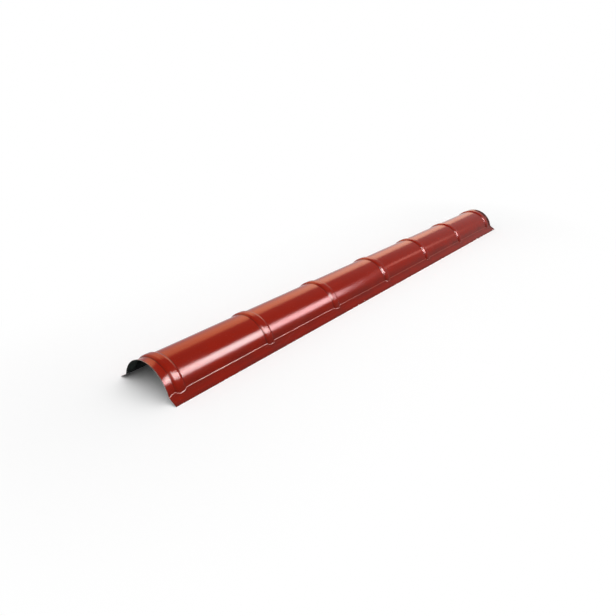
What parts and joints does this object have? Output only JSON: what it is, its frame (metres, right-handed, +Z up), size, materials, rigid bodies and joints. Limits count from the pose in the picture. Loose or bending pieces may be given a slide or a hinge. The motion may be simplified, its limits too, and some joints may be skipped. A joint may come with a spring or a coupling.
{
  "type": "roof ridge cap",
  "caption": "Half-round roof ridge cap pressed from one coated steel sheet, with raised cross ribs along its length and a sloping wing on each side.",
  "frame": {"origin": "on the floor under the middle of the cap, midway between its ends and between its wing edges", "axes": "+X along the cap's length, +Y across it, +Z up through the crest"},
  "size_m": [1.976, 0.216, 0.083],
  "materials": {
    "red_coating": "glossy oxide-red coil coating outside, dark grey backing coat inside"
  },
  "bodies": {
    "root": {"ridge_cap": "red_coating"}
  },
  "joints": []
}
